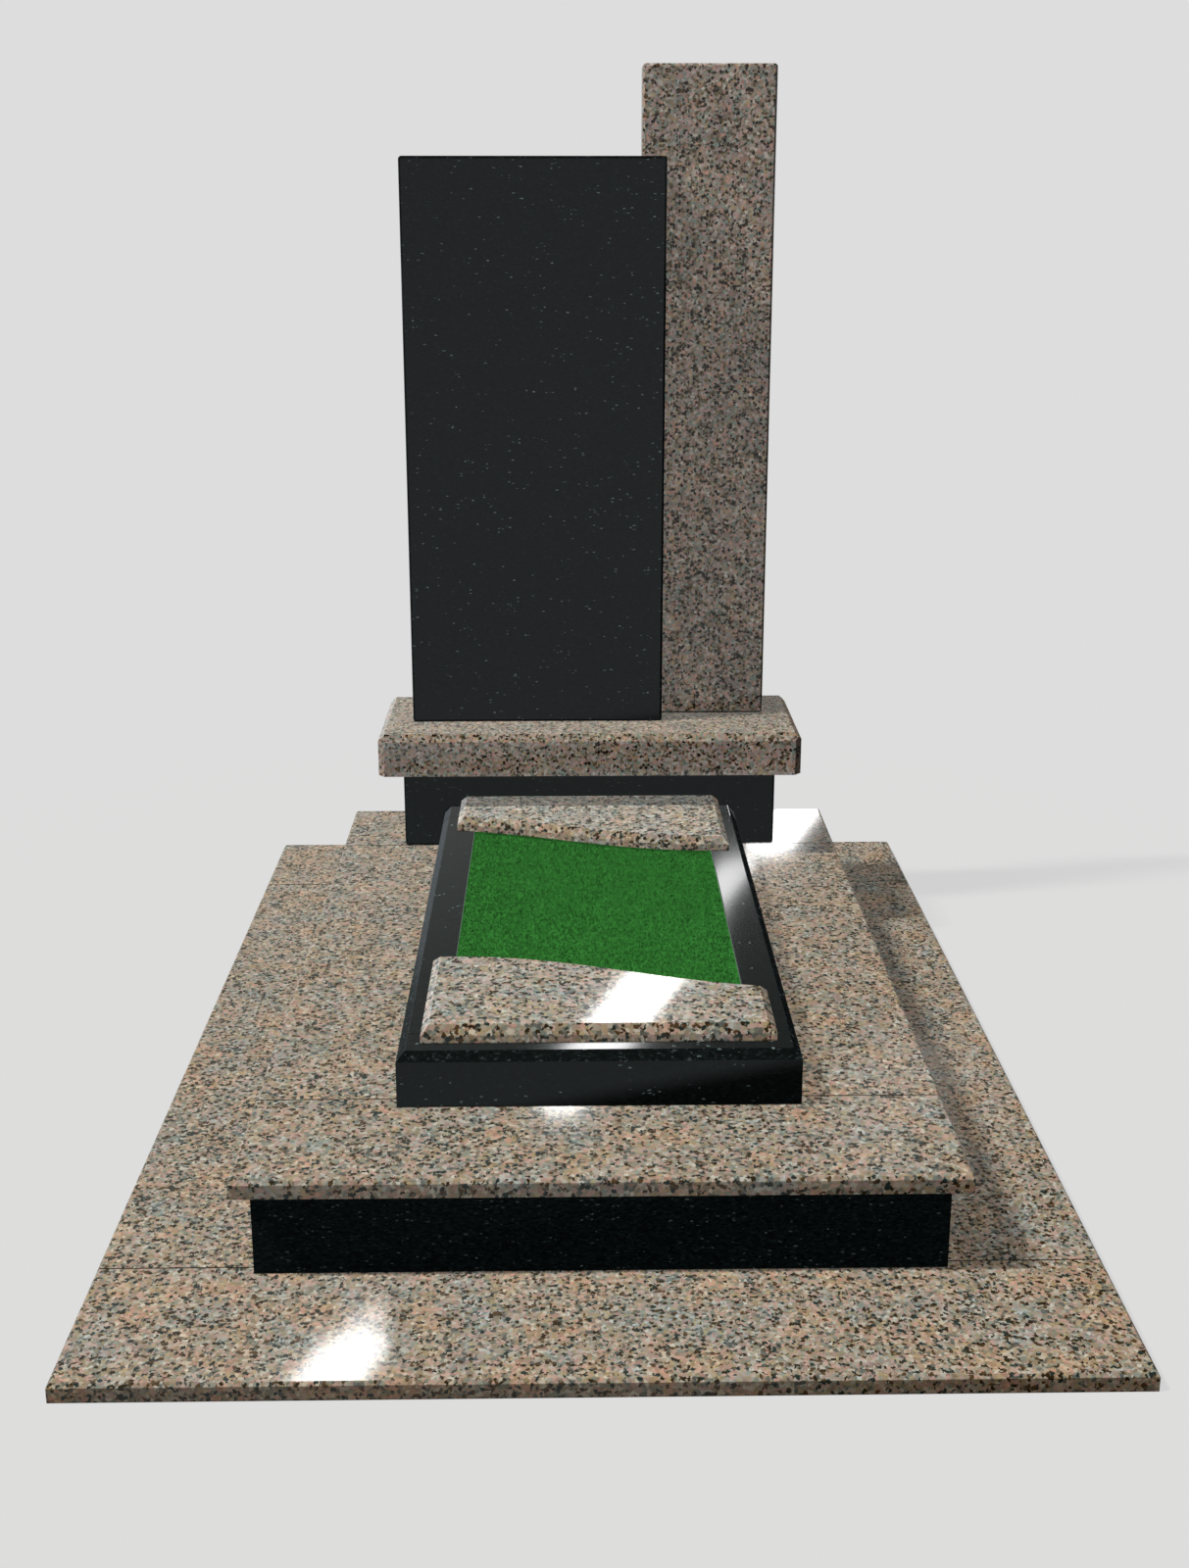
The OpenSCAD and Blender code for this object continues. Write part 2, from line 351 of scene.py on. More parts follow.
def makeFloor(setup):
    half, drop = setup["half"], setup["drop"]
    mesh = bpy.data.meshes.new("floor")
    corners = [(x * half, y * half, -drop) for x, y in ((-1, -1), (1, -1), (1, 1), (-1, 1))]
    mesh.from_pydata(corners, [], [(0, 1, 2, 3)])
    floor = bpy.data.objects.new("floor", mesh)
    scene.collection.objects.link(floor)
    material, tree, final = newMaterial("floorPaint", "ShaderNodeMixShader")
    place = (addNode(tree, "ShaderNodeTexCoord", (0, 0)), "Object")
    far = vectorNode(tree, "LENGTH", place, None, (1, 0), "Value")
    near = fade(tree, far, setup["shadeFade"], (2, 0), (setup["shade"], 0.0), "SMOOTHSTEP")
    tone = useGroup(tree, mirroredFloorGroup(setup), (3, -3), {"Vector": place})
    ray = addNode(tree, "ShaderNodeLightPath", (4, 2))

    def paint(kind, colour, spot):
        return addNode(tree, kind, spot, {"Color": colour}), 0

    even = paint("ShaderNodeEmission", grey(backdrop), (3, 1))
    pale = paint("ShaderNodeBsdfDiffuse", grey(backdrop), (3, -1))
    dim = paint("ShaderNodeBsdfDiffuse", grey(setup["bounce"]), (4, -2))
    # painted reflection: in the polish the floor is an unlit glow with the patches above
    mirror = paint("ShaderNodeEmission", (tone, "Color"), (4, -3))
    shown = addNode(tree, "ShaderNodeMixShader", (5, 0), {0: near, 1: even, 2: pale})
    unseen = addNode(tree, "ShaderNodeMixShader", (6, -1), {0: (ray, "Is Glossy Ray"), 1: dim, 2: mirror})
    feed(tree, final, {0: (ray, "Is Camera Ray"), 1: (unseen, 0), 2: (shown, 0)})
    mesh.materials.append(material)


makeLamps(lampSetup)
makeSky(skySetup, floorSetup["mirrored"])
makeFloor(floorSetup)
print("light and floor set")


# effects that the stones share

effectSetup = {
    "raggedNoise": (1.3, 1.5),  # scale against the grain, and detail, of what breaks its outline
    "slope": (0.97, 0.8),       # largest part of the normal, on a flat face and on a full chamfer
    "upright": 0.3,             # how far an upright face may look up or down
    "facing": 0.9,              # how squarely a chamfer faces its side
    "seamReach": 0.005,
    "seamSamples": 6,
    "seamOpen": (0.35, 0.9),    # openness, down in a seam and on clean stone
    "jointEdge": (0.6, 1.0),    # share of the reach where the dirt ends
    "clouds": (9.0, 4.0),       # scale and detail
    "hairlines": (420.0, 3.0),
}


def placeGroup():
    # object coordinates, moved by a different amount on each stone so that no grain runs across a joint
    tree, given, out = newGroup("stonePlace", [("Apart", "Float", 7.0)], [("Vector", "Vector")])
    which = addNode(tree, "ShaderNodeObjectInfo", (-4, -1))
    away = mathNode(tree, "MULTIPLY", (which, "Random"), (given, "Apart"), (-2, -1))
    spread = combine(tree, (-1, -1), away, away, away)
    place = addNode(tree, "ShaderNodeTexCoord", (-4, 1))
    feed(tree, out, {"Vector": vectorNode(tree, "ADD", (place, "Object"), spread, (1, 0))})
    return tree


def grainGroup(setup):
    # irregular grains: a number for each grain and the distance from its middle
    tree, given, out = newGroup(
        "stoneGrain",
        [("Vector", "Vector", None), ("Size", "Float", 0.008),
         ("Ragged", "Float", 0.6), ("Shift", "Float", 0.0)],
        [("Pick", "Float"), ("Second Pick", "Float"), ("Middle", "Float")])
    finer, detail = setup["raggedNoise"]
    scale = mathNode(tree, "DIVIDE", 1.0, (given, "Size"), (-5, 1))
    shifted = vectorNode(tree, "ADD", (given, "Vector"), (given, "Shift"), (-5, 0))
    wobble = noise(tree, shifted, mathNode(tree, "MULTIPLY", scale, finer, (-4, 1)), detail, (-3, 0))
    centred = vectorNode(tree, "SUBTRACT", (wobble, "Color"), grey(0.5), (-2, 0))
    reach = mathNode(tree, "MULTIPLY", (given, "Ragged"), (given, "Size"), (-3, 2))
    pushed = addNode(tree, "ShaderNodeVectorMath", (-1, 0), {0: centred, "Scale": reach}, operation="SCALE")
    moved = vectorNode(tree, "ADD", shifted, (pushed, 0), (0, 0))
    cells = addNode(tree, "ShaderNodeTexVoronoi", (2, 0), {"Vector": moved, "Scale": scale})
    parts = addNode(tree, "ShaderNodeSeparateColor", (4, 0), {0: (cells, "Color")})
    feed(tree, out, {"Pick": (parts, 0), "Second Pick": (parts, 1), "Middle": (cells, "Distance")})
    return tree


def arrisGroup(setup):
    # 1 on chamfers and bevels, 0 on the flat faces between them, and the upright faces by themselves
    tree, given, out = newGroup(
        "arrisMask", [("Strength", "Float", 1.0)],
        [("Mask", "Float"), ("Upright", "Float"), ("Right", "Float"), ("Front", "Float")])
    normal = (addNode(tree, "ShaderNodeNewGeometry", (-5, 0)), "True Normal")
    x, y, z = split(tree, vectorNode(tree, "ABSOLUTE", normal, None, (-4, 0)), (-3, 0))
    most = mathNode(tree, "MAXIMUM", x, y, (-2, 0))
    most = mathNode(tree, "MAXIMUM", most, z, (-1, 0))
    slope = fade(tree, most, setup["slope"], (0, 0))
    feed(tree, out, {
        "Mask": mathNode(tree, "MULTIPLY", slope, (given, "Strength"), (2, 0)),
        "Upright": mathNode(tree, "LESS_THAN", z, setup["upright"], (-1, 1))})
    # masks for painted shade: upright faces between the front and the right, which the light never reaches,
    # and the sloping ones along the front
    part = 0.7071  # of a normal halfway between two axes
    for name, row, facing in (("Right", -2, (part, -part, 0.0)), ("Front", -3, (0.0, -part, part))):
        turned = vectorNode(tree, "DOT_PRODUCT", normal, facing, (-1, row), "Value")
        feed(tree, out, {name: mathNode(tree, "GREATER_THAN", turned, setup["facing"], (1, row))})
    return tree


def seamGroup(setup):
    # painted shade: 0 down in the joints between stones and where one stone stands on another, 1 in the
    # open
    tree, given, out = newGroup("seamShade", [("Depth", "Float", 0.2)], [("Shade", "Float")])
    reach = {"Distance": setup["seamReach"]}
    hollow = addNode(tree, "ShaderNodeAmbientOcclusion", (-3, 0), reach, samples=setup["seamSamples"])
    ends = ((given, "Depth"), 1.0)
    feed(tree, out, {"Shade": fade(tree, (hollow, "AO"), setup["seamOpen"], (-1, 0), ends)})
    return tree


def jointGroup(setup):
    # dirt along the two joints across the slabs, 0 to 1 from the joint to clean stone
    tree, given, out = newGroup(
        "jointLine",
        [("Front", "Float", -1.0), ("Back", "Float", 1.0),
         ("Reach", "Float", 0.0020), ("Depth", "Float", 0.15)],
        [("Shade", "Float")])
    place = addNode(tree, "ShaderNodeTexCoord", (-5, 0))
    y = split(tree, (place, "Object"), (-4, 0), "Y")[0]
    away = []
    for row, end in enumerate(("Front", "Back")):
        apart = mathNode(tree, "SUBTRACT", y, (given, end), (-3, row))
        away.append(mathNode(tree, "ABSOLUTE", apart, None, (-2, row)))
    near = mathNode(tree, "MINIMUM", away[0], away[1], (-1, 0))
    share = mathNode(tree, "DIVIDE", near, (given, "Reach"), (0, 0))
    feed(tree, out, {"Shade": fade(tree, share, setup["jointEdge"], (2, 0), ((given, "Depth"), 1.0))})
    return tree


def polishGroup(setup):
    # faint clouds and hairline marks in a machine polish
    tree, given, out = newGroup(
        "polishMarks", [("Vector", "Vector", None), ("Amount", "Float", 1.0)],
        [("Clouds", "Float"), ("Height", "Float")])
    clouds = noise(tree, (given, "Vector"), *setup["clouds"], (-3, 1))
    fine = noise(tree, (given, "Vector"), *setup["hairlines"], (-3, -1))
    height = mathNode(tree, "MULTIPLY", (fine, "Fac"), (given, "Amount"), (0, -1))
    feed(tree, out, {"Clouds": (clouds, "Fac"), "Height": height})
    return tree


placeOnStone = placeGroup()
stoneGrain = grainGroup(effectSetup)
arrisMask = arrisGroup(effectSetup)
seamShade = seamGroup(effectSetup)
jointLine = jointGroup(effectSetup)
polishMarks = polishGroup(effectSetup)
print("shared effects built")


def addBump(tree, height, surface, strength, distance):
    inputs = {"Height": height, "Strength": strength, "Distance": distance}
    feed(tree, surface, {"Normal": (addNode(tree, "ShaderNodeBump", (5, -3), inputs), 0)})


def polishStone(tree, surface, setup, place, arris, litAndClean):
    # full polish on flat faces out of the painted seam shade and, on the slabs, the joint dirt, and less on
    # upright faces and chamfers
    matt = mathNode(tree, "MULTIPLY", (arris, "Mask"), setup["chamferMatt"], (2, -2))
    duller = mathNode(tree, "MULTIPLY", (arris, "Upright"), 1 - setup["uprightPolish"], (2, -3))
    matt = mathNode(tree, "MAXIMUM", matt, duller, (3, -3))
    polish = mathNode(tree, "SUBTRACT", litAndClean, matt, (3, -2), clamp=True)
    polish = mathNode(tree, "MULTIPLY", polish, setup["polish"], (4, -2))
    marks = useGroup(tree, polishMarks, (-6, -3), {"Vector": place})
    least, clouded = setup["roughness"]
    rough = mathNode(tree, "MULTIPLY_ADD", (marks, "Clouds"), clouded, (3, -1), least)
    addBump(tree, (marks, "Height"), surface, *setup["bump"])
    feed(tree, surface, {
        "Coat Weight": polish, "Roughness": rough, "Specular IOR Level": 0.0,
        "Coat Roughness": setup["coatRoughness"], "Coat IOR": setup["coatIor"]})


# rose granite: slabs, bed plates, cap and pillar

roseSetup = {
    "grain": 0.0065,
    "ragged": 0.9,        # how broken the outline of a grain is
    "micaGrain": 0.0072,
    "micaRagged": 1.4,
    "micaShare": 0.24,
    "micaShift": 3.7,     # keeps its pattern apart from that of the grains
    "micaCore": (0.78, 0.58),  # from the rim of a grain of mica to its full black
    "feldspar": [
        (0.00, (0.350, 0.270, 0.184)),
        (0.16, (0.478, 0.342, 0.281)),
        (0.32, (0.278, 0.291, 0.233)),
        (0.44, (0.490, 0.436, 0.352)),
        (0.62, (0.398, 0.325, 0.196)),
        (0.72, (0.141, 0.143, 0.122)),
        (0.83, (0.500, 0.320, 0.262)),
        (0.93, (0.545, 0.520, 0.445)),
    ],
    "mica": [
        (0.0, (0.030, 0.019, 0.005)),
        (0.4, (0.020, 0.033, 0.029)),
        (0.7, (0.092, 0.052, 0.019)),
    ],
    "darkest": 0.76,      # how much single grains differ
    "lightest": 1.28,
    "tone": 0.95,
    "patches": (14.0, 3.0),    # scale and detail
    "patchEdges": (0.34, 0.66),
    "cool": (0.865, 0.985, 1.085),  # tints of the patches
    "warm": (1.14, 1.005, 0.875),
    "crowding": (32.0, 2.0),   # scale and detail of where mica is thick
    "crowd": [(0.35, 0.6), (0.65, 1.4)],
    "upright": (0.75, 0.73, 0.71),  # painted shade: tint of upright faces for the light they get
    "chamfer": (0.93, 0.94, 0.96),  # painted shade: tint of the chamfers along the front, for the light they get
    "unlit": 0.25,        # tint of those that the light never reaches
    "joints": None,       # where the two joints across the slabs are
    "polish": 1.0,
    "uprightPolish": 0.5,
    "chamferMatt": 0.6,   # polish lost on the chamfers
    "roughness": (0.35, 0.3),  # of the stone under its polish, and what the clouds add
    "bump": (0.10, 0.0003),    # strength and height of the hairlines
    "coatRoughness": 0.052,
    "coatIor": 1.75,
}


def slabJoints(node):
    # the slab's ends, moved to the middle of the joints
    halfJoint = 0.0005
    low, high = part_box(node)
    return low.y - halfJoint, high.y + halfJoint


# painted shade: the slabs' and plates' upright faces are tinted darker than the polished tops, for the
# light they get
apronSetup = dict(
    roseSetup, grain=0.0061, micaGrain=0.0067,
    upright=(0.57, 0.515, 0.457), joints=slabJoints("apron_slab_left"))
coverSetup = dict(
    roseSetup, grain=0.0068, micaGrain=0.0072, cool=(0.88, 0.985, 1.07), warm=(1.12, 1.005, 0.895),
    upright=(0.75, 0.733, 0.72), joints=slabJoints("cover_slab_left"))
plateSetup = dict(
    roseSetup, grain=0.0074, micaGrain=0.0078, tone=1.08, cool=(0.88, 1.03, 1.18), warm=(1.06, 1.04, 1.00),
    upright=(1.00, 0.93, 0.88), chamfer=(0.79, 0.73, 0.68))
# painted light: the back plate is a lighter copy of the front plate's stone
backPlateSetup = dict(plateSetup, tone=1.19)
# the standing stones keep more polish upright, and their patches differ in tone more than in colour; their
# upright faces are tinted lighter, which is painted light
pillarSetup = dict(
    roseSetup, grain=0.0061, micaGrain=0.0064, micaShare=0.27, darkest=0.71, lightest=1.33, tone=1.02,
    feldspar=[
        (0.00, (0.350, 0.272, 0.222)),
        (0.16, (0.478, 0.345, 0.328)),
        (0.32, (0.252, 0.306, 0.258)),
        (0.44, (0.470, 0.430, 0.372)),
        (0.62, (0.415, 0.328, 0.200)),
        (0.72, (0.152, 0.128, 0.080)),
        (0.83, (0.520, 0.306, 0.238)),
        (0.93, (0.545, 0.512, 0.462)),
    ],
    mica=[
        (0.0, (0.016, 0.007, 0.002)),
        (0.40, (0.034, 0.030, 0.016)),
        (0.7, (0.110, 0.062, 0.020)),
    ],
    cool=(0.87, 0.895, 0.925), warm=(1.13, 1.09, 1.055), upright=(1.14, 1.12, 1.11), uprightPolish=0.75)
capSetup = dict(
    pillarSetup, grain=0.0060, micaGrain=0.0062, micaShare=0.22, darkest=0.80, lightest=1.24, tone=1.0,
    cool=(0.86, 0.88, 0.855), warm=(1.105, 1.06, 0.96), upright=(1.13, 1.13, 1.22), uprightPolish=1.0,
    chamfer=(0.82, 0.82, 0.81))


def roseGranite(name, setup):
    material, tree, surface = newMaterial(name)
    place = (useGroup(tree, placeOnStone, (-8, 0)), "Vector")
    grain = useGroup(tree, stoneGrain, (-6, 1), {
        "Vector": place, "Size": setup["grain"], "Ragged": setup["ragged"]})
    mica = useGroup(tree, stoneGrain, (-6, -1), {
        "Vector": place, "Size": setup["micaGrain"], "Ragged": setup["micaRagged"],
        "Shift": setup["micaShift"]})
    body = ramp(tree, (grain, "Pick"), setup["feldspar"], (-4, 1), "CONSTANT")
    # each grain is a little lighter or darker, and warm and cool patches lie over several grains
    darkest, lightest = (setup[end] * setup["tone"] for end in ("darkest", "lightest"))
    shade = ramp(tree, (grain, "Second Pick"), [(0.0, darkest), (1.0, lightest)], (-4, 2))
    body = mixColour(tree, 1.0, body, shade, (-2, 1), "MULTIPLY")
    drift = noise(tree, place, *setup["patches"], (-6, 3))
    tints = list(zip(setup["patchEdges"], (setup["cool"], setup["warm"])))
    tint = ramp(tree, (drift, "Fac"), tints, (-4, 3))
    body = mixColour(tree, 1.0, body, tint, (-1, 1), "MULTIPLY")
    # mica sits in some of the grains, thickest at their middle
    dark = ramp(tree, (mica, "Second Pick"), setup["mica"], (-4, -1), "CONSTANT")
    crowding = noise(tree, place, *setup["crowding"], (-6, -2))
    crowd = ramp(tree, (crowding, "Fac"), setup["crowd"], (-5, -2))
    share = mathNode(tree, "MULTIPLY", crowd, setup["micaShare"], (-4, -2))
    chosen = mathNode(tree, "LESS_THAN", (mica, "Pick"), share, (-3, -2))
    core = fade(tree, (mica, "Middle"), setup["micaCore"], (-3, -3))
    spot = mathNode(tree, "MULTIPLY", chosen, core, (-2, -2))
    colour = mixColour(tree, spot, body, dark, (1, 0))
    arris = useGroup(tree, arrisMask, (1, -2))
    # painted shade in the seams and where stones stand on each other, which also takes off the polish there
    litAndClean = (useGroup(tree, seamShade, (2, -4)), "Shade")
    # painted shade and light: tints by which way a face looks, on upright faces, on the chamfers along the
    # front, and on faces the light never reaches
    colour = mixColour(tree, (arris, "Upright"), colour, setup["upright"], (3, 1), "MULTIPLY")
    colour = mixColour(tree, (arris, "Front"), colour, setup["chamfer"], (3, 2), "MULTIPLY")
    colour = mixColour(tree, (arris, "Right"), colour, grey(setup["unlit"]), (4, 1), "MULTIPLY")
    colour = mixColour(tree, 1.0, colour, litAndClean, (5, 1), "MULTIPLY")
    if setup["joints"]:
        front, back = setup["joints"]
        line = (useGroup(tree, jointLine, (4, 3), {"Front": front, "Back": back}), "Shade")
        colour = mixColour(tree, 1.0, colour, line, (6, 1), "MULTIPLY")
        litAndClean = mathNode(tree, "MINIMUM", litAndClean, line, (5, 3))
    feed(tree, surface, {"Base Color": colour})
    polishStone(tree, surface, setup, place, arris, litAndClean)
    return material


# black granite: kerbs, pedestal and stele, and for the base panels a copy with almost no polish, standing
# in for the shade under the cover slab

blackSetup = {
    "base": (0.0040, 0.0050, 0.0052),
    "flatten": (0.7, 0.7, 1.6),  # makes flecks and clusters wider than high
    "fleck": (0.24, 0.33, 0.32),
    "fleckGrain": 0.006,
    "fleckRagged": 1.2,
    "fleckShare": 0.085,
    "fleckCore": (0.45, 0.15),   # from the rim of a fleck to its full colour
    "faintness": 2.2,     # the higher, the more flecks are faint
    "clusters": (20.0, 2.0),     # scale and detail
    "crowd": [(0.44, 0.15), (0.66, 2.6)],
    "grain": 0.004,
    "ragged": 0.8,
    "shift": 1.9,         # keeps this grain apart from the flecks
    "shades": [(0.0, 0.5), (1.0, 1.6)],
    "dust": 0.012,        # strength of the finest flecks
    "dustFrom": 0.80,     # share of the grain without them
    "dustTint": (0.55, 1.0, 1.0),
    "chamfer": (0.001, 0.001, 0.001),  # how much paler the chamfers are
    "specks": [(0.0, 0.3), (0.7, 0.55), (0.92, 1.9), (1.0, 8.0)],  # and how unevenly
    "polish": 1.0,
    "uprightPolish": 1.0,
    "chamferMatt": 0.8,
    "roughness": (0.4, 0.3),
    "bump": (0.025, 0.0002),
    "coatRoughness": 0.06,
    "coatIor": 1.5,
}
kerbSetup = dict(
    blackSetup, base=(0.0025, 0.0045, 0.0038), fleckShare=0.055, dust=0.006,
    chamfer=(0.0046, 0.0052, 0.0060), uprightPolish=0.86)
# painted shade: the panels keep almost no polish, so that they stay dark as in the shade under the cover
# slab
panelSetup = dict(
    blackSetup, base=(0.0060, 0.0090, 0.0092), fleck=(0.36, 0.44, 0.42),
    fleckShare=0.07, dust=0.015, polish=0.03)


def blackGranite(name, setup):
    material, tree, surface = newMaterial(name)
    place = (useGroup(tree, placeOnStone, (-8, 0)), "Vector")
    mapping = addNode(tree, "ShaderNodeMapping", (-7, 0), {"Vector": place, "Scale": setup["flatten"]})
    flat = (mapping, "Vector")
    fleck = useGroup(tree, stoneGrain, (-6, 1), {
        "Vector": flat, "Size": setup["fleckGrain"], "Ragged": setup["fleckRagged"]})
    grain = useGroup(tree, stoneGrain, (-6, 3), {
        "Vector": flat, "Size": setup["grain"], "Ragged": setup["ragged"], "Shift": setup["shift"]})
    shade = ramp(tree, (grain, "Pick"), setup["shades"], (-4, 3))
    body = mixColour(tree, 1.0, setup["base"], shade, (-2, 2), "MULTIPLY")
    brightest = tuple(setup["dust"] * tint for tint in setup["dustTint"])
    dust = ramp(tree, (grain, "Second Pick"), [(setup["dustFrom"], 0.0), (1.0, brightest)], (-4, 4))
    body = mixColour(tree, 1.0, body, dust, (-1, 2), "ADD")
    # flecks come in loose clusters
    where = noise(tree, flat, *setup["clusters"], (-6, -1))
    crowd = ramp(tree, (where, "Fac"), setup["crowd"], (-4, -1))
    share = mathNode(tree, "MULTIPLY", crowd, setup["fleckShare"], (-3, -1))
    chosen = mathNode(tree, "LESS_THAN", (fleck, "Pick"), share, (-2, 0))
    core = fade(tree, (fleck, "Middle"), setup["fleckCore"], (-3, 0))
    strength = mathNode(tree, "POWER", (fleck, "Second Pick"), setup["faintness"], (-3, 1))
    strength = mathNode(tree, "MULTIPLY", strength, core, (-2, 1))
    spot = mathNode(tree, "MULTIPLY", chosen, strength, (-1, 0))
    colour = mixColour(tree, spot, body, setup["fleck"], (1, 0))
    arris = useGroup(tree, arrisMask, (1, -2))
    speck = ramp(tree, (grain, "Second Pick"), setup["specks"], (0, 3))
    paler = mixColour(tree, 1.0, setup["chamfer"], speck, (1, 2), "MULTIPLY")
    colour = mixColour(tree, (arris, "Mask"), colour, paler, (2, 0), "ADD")
    feed(tree, surface, {"Base Color": colour})
    # painted shade in the seams and where stones stand on each other, which also takes off the polish there
    litAndClean = (useGroup(tree, seamShade, (2, -4)), "Shade")
    polishStone(tree, surface, setup, place, arris, litAndClean)
    return material


# concrete and soil, which show only where a stone is lifted away

concreteSetup = {
    "dark": (0.30, 0.29, 0.27),
    "light": (0.58, 0.57, 0.54),
    "grain": 0.006,
    "ragged": 0.9,
    "clouds": (30.0, 6.0),
    "blend": (0.05, 0.6),
    "bump": (0.6, 0.002),
    "roughness": 0.92,
}
soilSetup = dict(concreteSetup, dark=(0.05, 0.032, 0.02), light=(0.17, 0.11, 0.07), grain=0.004)


def roughFill(name, setup):
    material, tree, surface = newMaterial(name)
    place = (useGroup(tree, placeOnStone, (-6, 0)), "Vector")
    grain = useGroup(tree, stoneGrain, (-4, 1), {
        "Vector": place, "Size": setup["grain"], "Ragged": setup["ragged"]})
    clouds = noise(tree, place, *setup["clouds"], (-4, -1))
    blend = mathNode(tree, "MULTIPLY", (grain, "Pick"), (clouds, "Fac"), (-2, 0))
    colours = list(zip(setup["blend"], (setup["dark"], setup["light"])))
    colour = ramp(tree, blend, colours, (0, 0))
    addBump(tree, blend, surface, *setup["bump"])
    feed(tree, surface, {"Base Color": colour, "Roughness": setup["roughness"]})
    return material


# turf

turfSetup = {
    "green": (0.0346, 0.211, 0.032),
    "fibres": (700.0, 2.0),  # scale and detail
    "shades": [(0.3, 0.95), (0.7, 1.05)],
    "level": 0.985,          # how evenly the blades take the light
    "roughness": 0.9,
    "gloss": 0.1,
}


def turfMaterial(setup):
    material, tree, surface = newMaterial("turfGreen")
    place = addNode(tree, "ShaderNodeTexCoord", (-6, 0))
    fibres = noise(tree, (place, "Object"), *setup["fibres"], (-4, 0))
    shade = ramp(tree, (fibres, "Fac"), setup["shades"], (-2, 0))
    colour = mixColour(tree, 1.0, setup["green"], shade, (0, 0), "MULTIPLY")
    # the blades are so short and close that they take the light almost like a flat mat
    tilt = addNode(tree, "ShaderNodeNewGeometry", (-2, -2))
    inputs = {0: setup["level"], 4: (tilt, "Normal"), 5: (0.0, 0.0, 1.0)}
    level = addNode(tree, "ShaderNodeMix", (0, -2), inputs, data_type="VECTOR")
    feed(tree, surface, {
        "Base Color": colour, "Normal": vectorNode(tree, "NORMALIZE", (level, 1), None, (2, -2)),
        "Roughness": setup["roughness"], "Specular IOR Level": setup["gloss"]})
    return material


finishes = {
    "rose_granite": roseGranite("rosePillar", pillarSetup),
    "black_granite": blackGranite("blackStele", blackSetup),
    "concrete": roughFill("castConcrete", concreteSetup),
    "soil": roughFill("plantingSoil", soilSetup),
    "turf": turfMaterial(turfSetup),
}
blackKerb = blackGranite("blackKerb", kerbSetup)
ownFinishes = {  # by the start of a stone's name, and the last one that fits is used
    "base_panel": blackGranite("blackPanel", panelSetup),
    "kerb": blackKerb,
    "pedestal": blackKerb,
    "pedestal_cap": roseGranite("roseCap", capSetup),
    "apron_slab": roseGranite("roseApron", apronSetup),
    "cover_slab": roseGranite("roseCover", coverSetup),
    "bed_plate_front": roseGranite("rosePlate", plateSetup),
    "bed_plate_back": roseGranite("roseBackPlate", backPlateSetup),
}


def mirrorRoomOnly(stone):
    stone.visible_glossy = False  # the polish mirrors the room only, and no stone in its neighbour
    stone.visible_diffuse = False  # and the sky light stays even, also close to a taller stone


for part in frame["record"]["subparts"]:
    stone = stones[part["node"]]
    finish = finishes[part["material_slot"]]
    for start, own in ownFinishes.items():
        if part["node"].startswith(start):
            finish = own
    stone.data.materials.clear()
    stone.data.materials.append(finish)
    mirrorRoomOnly(stone)
    if part["node"].startswith("kerb"):
        letLightPast(stone)
print("materials laid on", len(stones), "stones")


# pieces grown from geometry nodes

def newGrower(name, inputs):
    return newGroup(name, inputs, [("Geometry", "Geometry")], "Geometry", (-8, 12))


def growMesh(name, tree, values):
    # runs the tree once and keeps its result as a plain mesh
    piece = bpy.data.objects.new(name, bpy.data.meshes.new(name + "Seed"))
    scene.collection.objects.link(piece)
    modifier = piece.modifiers.new(name, "NODES")
    modifier.node_group = tree
    for item in tree.interface.items_tree:
        if item.item_type == "SOCKET" and item.in_out == "INPUT":
            modifier[item.identifier] = values[item.name]
    graph = bpy.context.evaluated_depsgraph_get()
    grown = bpy.data.meshes.new_from_object(piece.evaluated_get(graph))
    piece.modifiers.remove(modifier)
    piece.data = grown
    grown.name = name
    return piece


def finishGrowth(tree, source, given, out):
    # real meshes with their material, as the last step of every grower
    real = addNode(tree, "GeometryNodeRealizeInstances", (9, 0), {"Geometry": source})
    painted = addNode(tree, "GeometryNodeSetMaterial", (10, 0), {
        "Geometry": (real, "Geometry"), "Material": (given, "Material")})
    feed(tree, out, {"Geometry": (painted, "Geometry")})


# bed plates: a straight slab whose far edge runs in half a cosine wave

waveSetup = {
    "long": 0.316,
    "short": 0.176,
    "waveStart": 0.08,  # share of the width before the wave
    "waveSpan": 1.05,
    "bevel": 0.015,
    "steps": 72,
    "mergeWithin": 0.00002,
}


